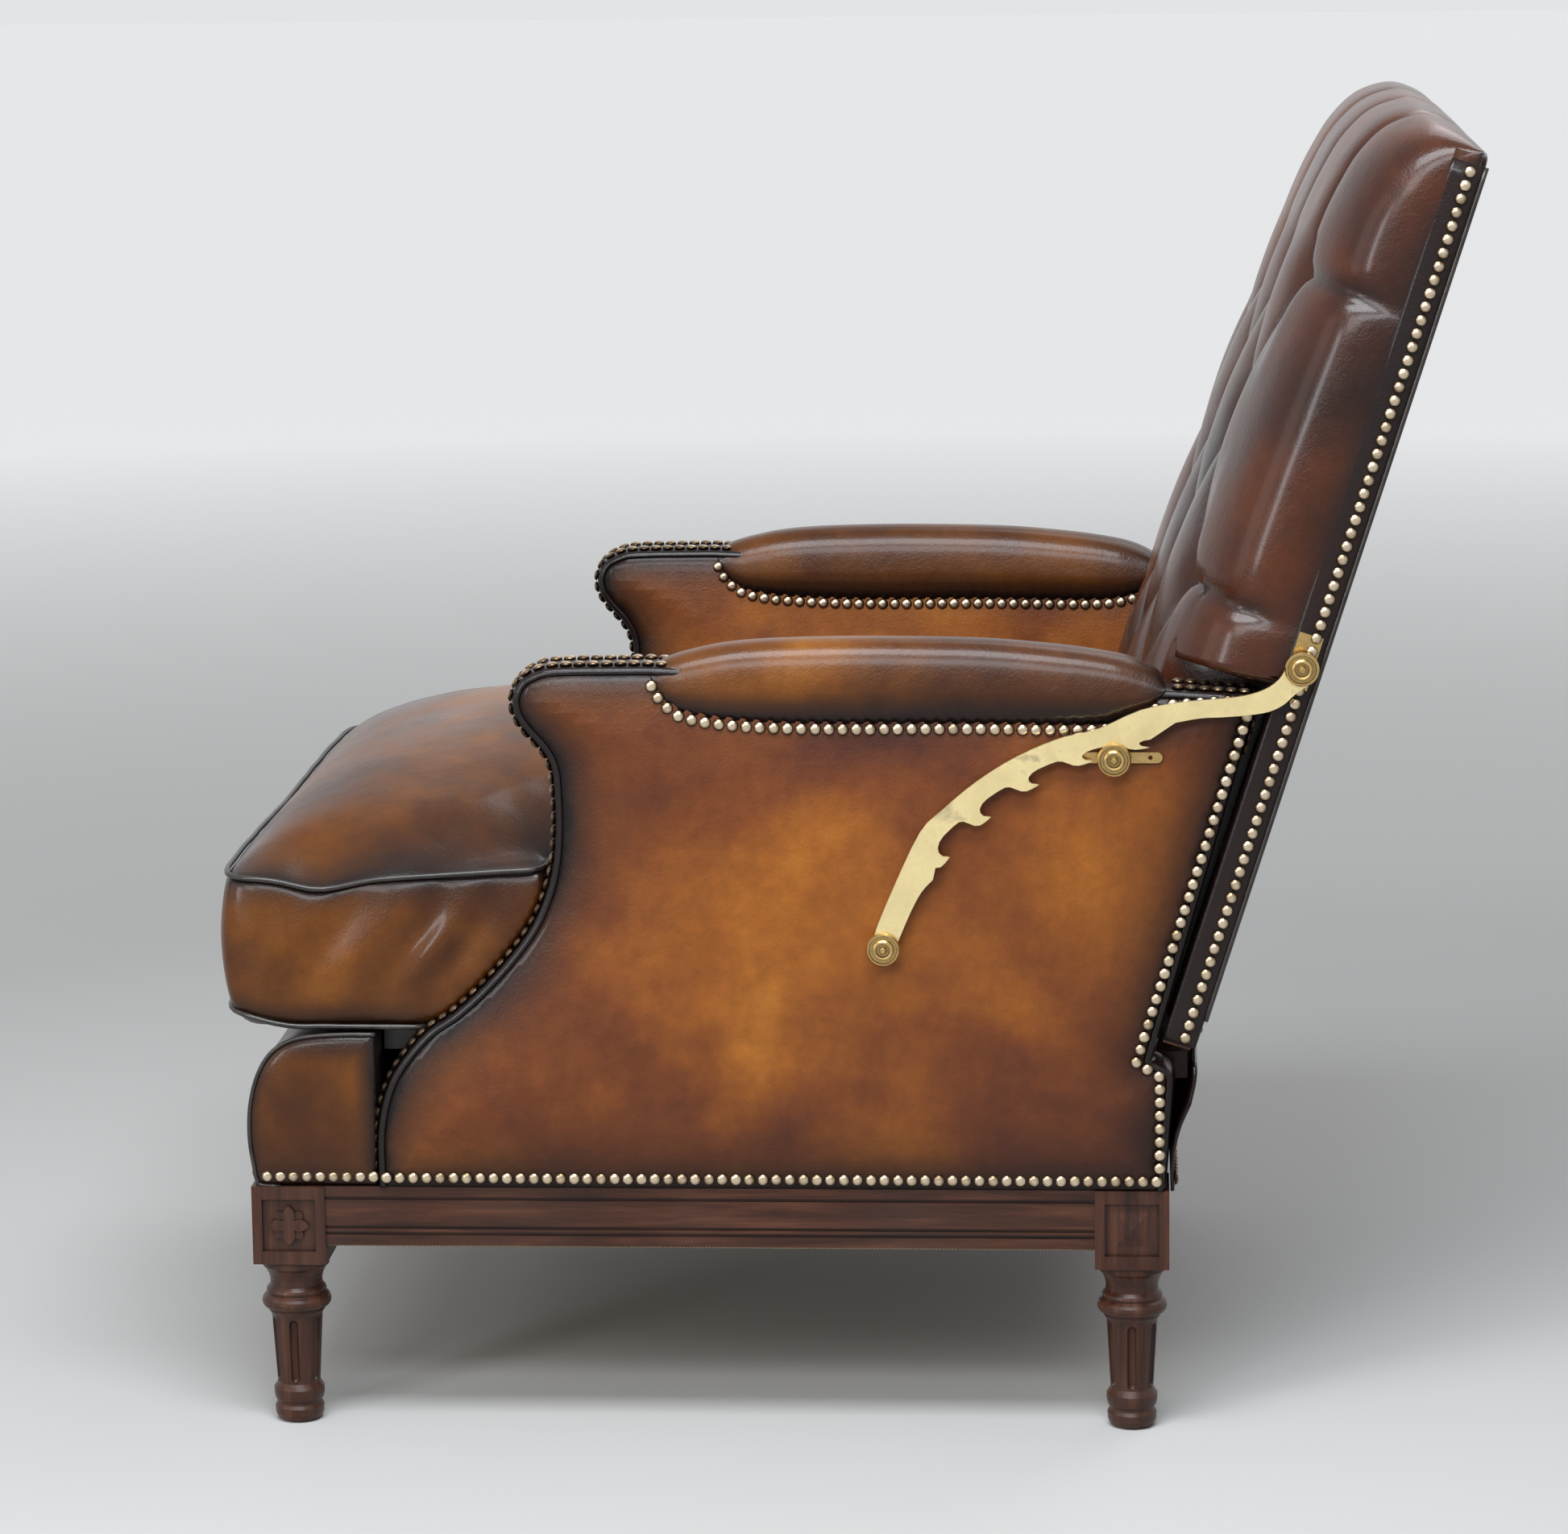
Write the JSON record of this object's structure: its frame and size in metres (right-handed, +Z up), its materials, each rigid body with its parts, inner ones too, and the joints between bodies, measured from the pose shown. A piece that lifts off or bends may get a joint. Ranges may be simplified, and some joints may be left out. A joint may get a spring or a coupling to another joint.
{
  "type": "reclining club armchair",
  "caption": "Reclining leather club armchair on turned, fluted legs, with a deep-buttoned hinged back held by toothed brass straps.",
  "frame": {"origin": "on the floor, under the middle of the chair's width and depth", "axes": "+X towards the sitter's left, +Y to the rear, +Z up; the chair faces -Y"},
  "size_m": [0.7038, 0.9372, 0.9795],
  "materials": {
    "leather": "glossy aged chestnut leather with dark edges",
    "back_leather": "glossy dark red-brown leather, deep buttoned",
    "piping": "black waxed leather piping",
    "mahogany": "dark red-brown polished mahogany",
    "frame_wood": "plain beech, unfinished",
    "strap_brass": "polished pale brass with grey age spots",
    "aged_brass": "turned brass, darker in its grooves",
    "steel": "plain steel wire and screws",
    "hessian": "woven jute"
  },
  "bodies": {
    "frame": {"front_leg_left": "mahogany", "front_leg_right": "mahogany", "rear_leg_left": "mahogany", "rear_leg_right": "mahogany", "side_rail_left": "mahogany", "side_rail_right": "mahogany", "front_rail": "mahogany", "back_rail": "mahogany", "corner_blocks": "frame_wood", "corner_screws": "steel", "arm_frame_left": "frame_wood", "arm_frame_right": "frame_wood", "arm_outer_panel_left": "leather", "arm_outer_panel_right": "leather", "arm_inner_panel_left": "leather", "arm_inner_panel_right": "leather", "arm_facing_left": "leather", "arm_facing_right": "leather", "arm_pad_left": "leather", "arm_pad_right": "leather", "hinge_rail": "frame_wood", "rear_panel": "leather", "dust_cover": "hessian", "seat_webbing": "hessian", "seat_springs": "steel", "seat_deck": "hessian", "seat_front_roll": "leather", "seat_cushion": "leather", "piping_top": "piping", "piping_bottom": "piping", "stud_plate_left": "aged_brass", "stud_plate_right": "aged_brass", "stud_left": "aged_brass", "stud_right": "aged_brass", "hinge_leaves_fixed": "aged_brass", "hinge_pins": "steel"},
    "back": {"hinge_leaves_moving": "aged_brass", "back_frame": "frame_wood", "back_cushion": "back_leather", "back_cushion_foot": "back_leather", "back_outer_panel": "back_leather", "back_buttons": "back_leather", "pivot_plate_left": "aged_brass", "pivot_plate_right": "aged_brass", "pivot_pin_left": "aged_brass", "pivot_pin_right": "aged_brass"},
    "strap_left": {"strap_left": "strap_brass", "strap_knob_left": "aged_brass"},
    "strap_right": {"strap_right": "strap_brass", "strap_knob_right": "aged_brass"}
  },
  "joints": [
    {"name": "recline", "type": "hinge", "parent": "frame", "child": "back", "pos_m": [0, 0.264, 0.288], "axis": [-1, 0, 0], "range_deg": [0, 34.3]},
    {"name": "strap_swing_left", "type": "hinge", "parent": "back", "child": "strap_left", "pos_m": [0.3415, 0.338, 0.579], "axis": [-1, 0, 0], "range_deg": [-2.89, 40]},
    {"name": "strap_swing_right", "type": "hinge", "parent": "back", "child": "strap_right", "pos_m": [-0.3415, 0.338, 0.579], "axis": [-1, 0, 0], "range_deg": [-2.89, 40]}
  ]
}
